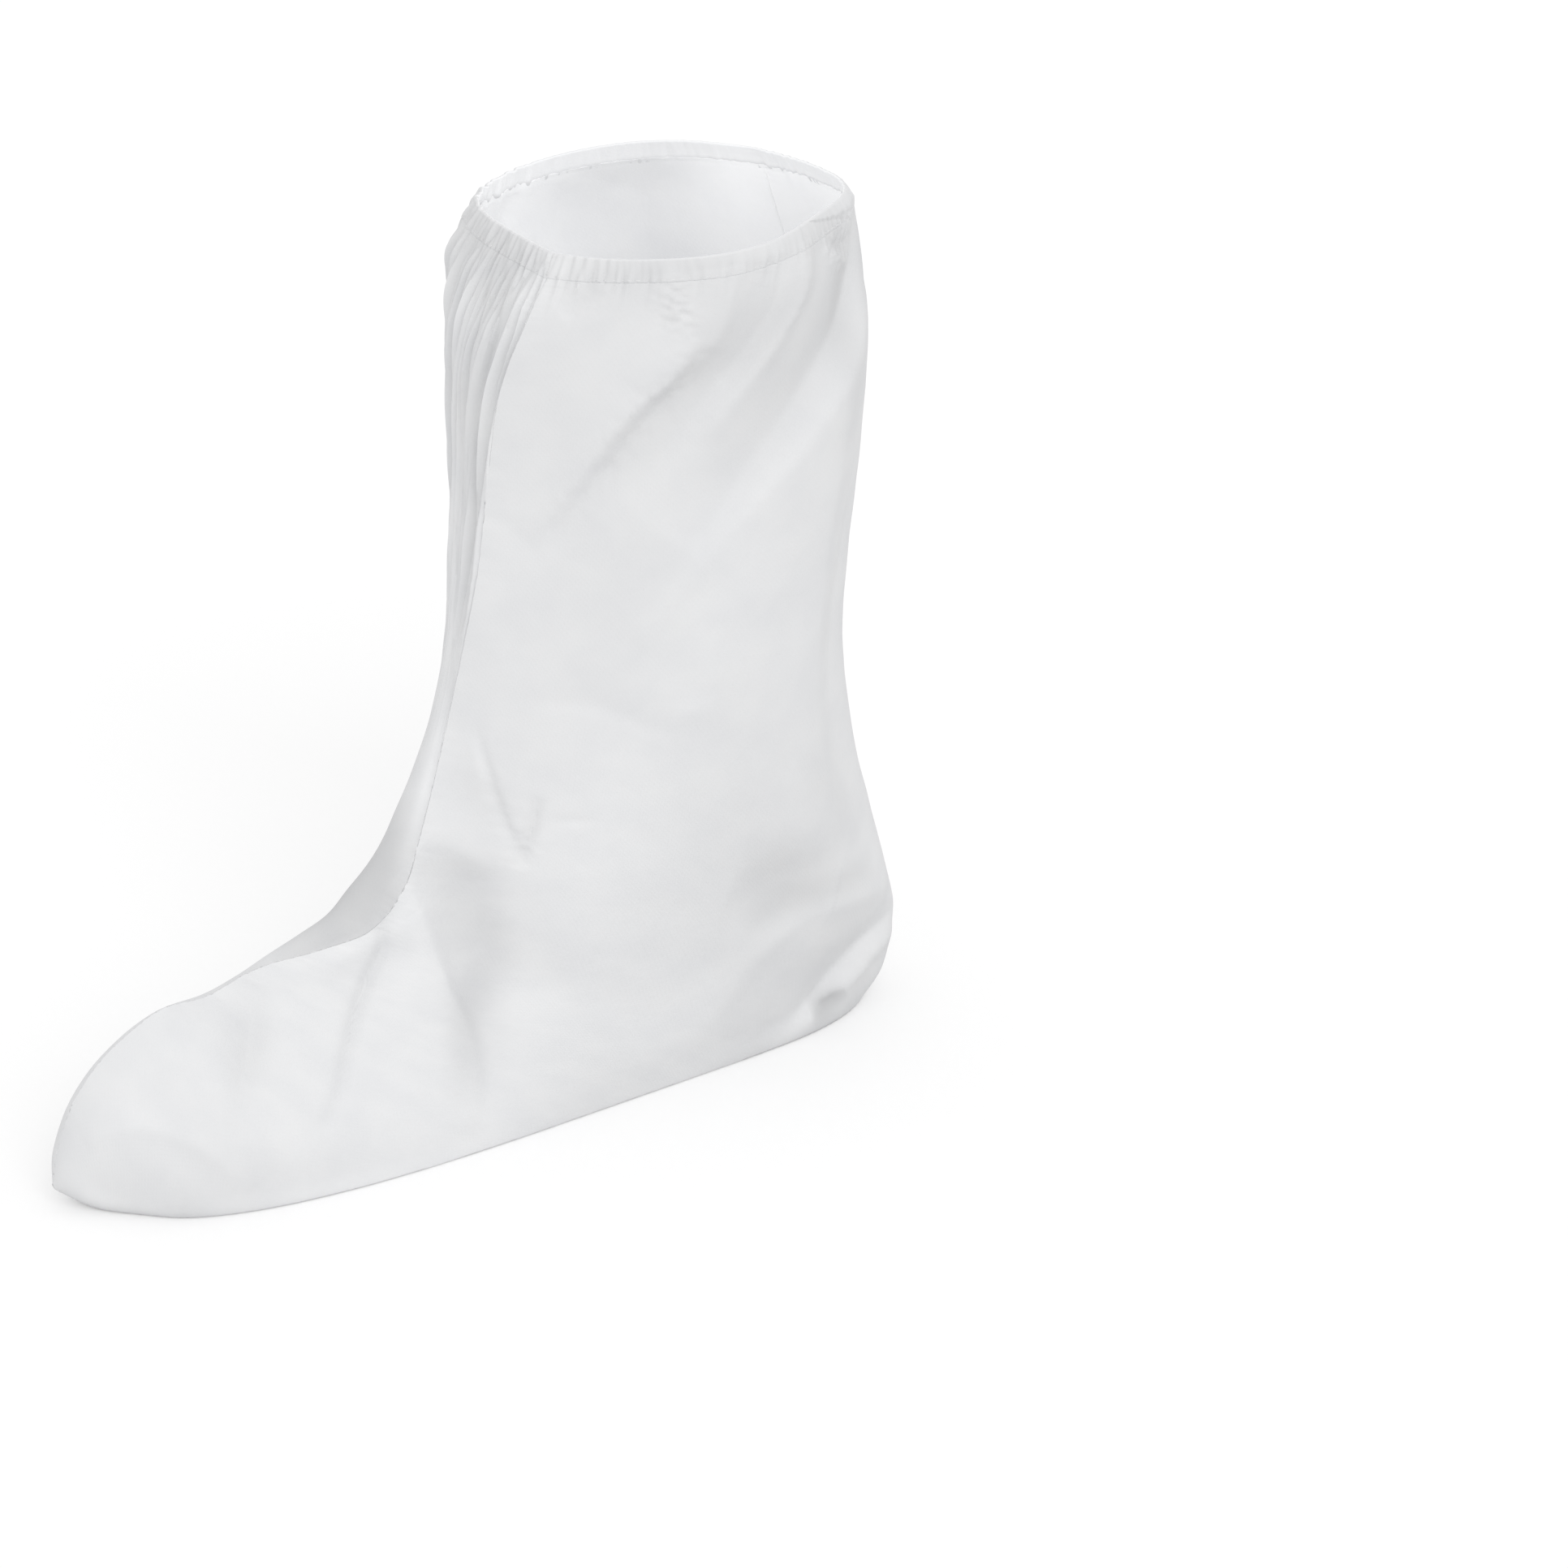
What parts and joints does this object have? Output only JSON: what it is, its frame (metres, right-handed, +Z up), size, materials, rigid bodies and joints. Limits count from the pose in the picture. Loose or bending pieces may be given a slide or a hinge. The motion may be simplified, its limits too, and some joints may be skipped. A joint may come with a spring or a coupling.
{
  "type": "boot cover",
  "caption": "Pull-on protective boot cover of thin white nonwoven cloth: tall loose shaft with a gathered hem round the opening, shaped heel and foot, and a pointed toe.",
  "frame": {"origin": "middle of the bounding box at floor level, under the sole", "axes": "+X towards the toe, +Y towards the left side, +Z up the shaft"},
  "size_m": [0.3786, 0.1582, 0.359],
  "materials": {
    "left_cloth": "matt white nonwoven laminate",
    "right_cloth": "matt white nonwoven laminate",
    "hem_cloth": "matt white nonwoven laminate, folded and gathered"
  },
  "bodies": {
    "root": {"left_panel": "left_cloth", "right_panel": "right_cloth", "top_hem": "hem_cloth"}
  },
  "joints": []
}
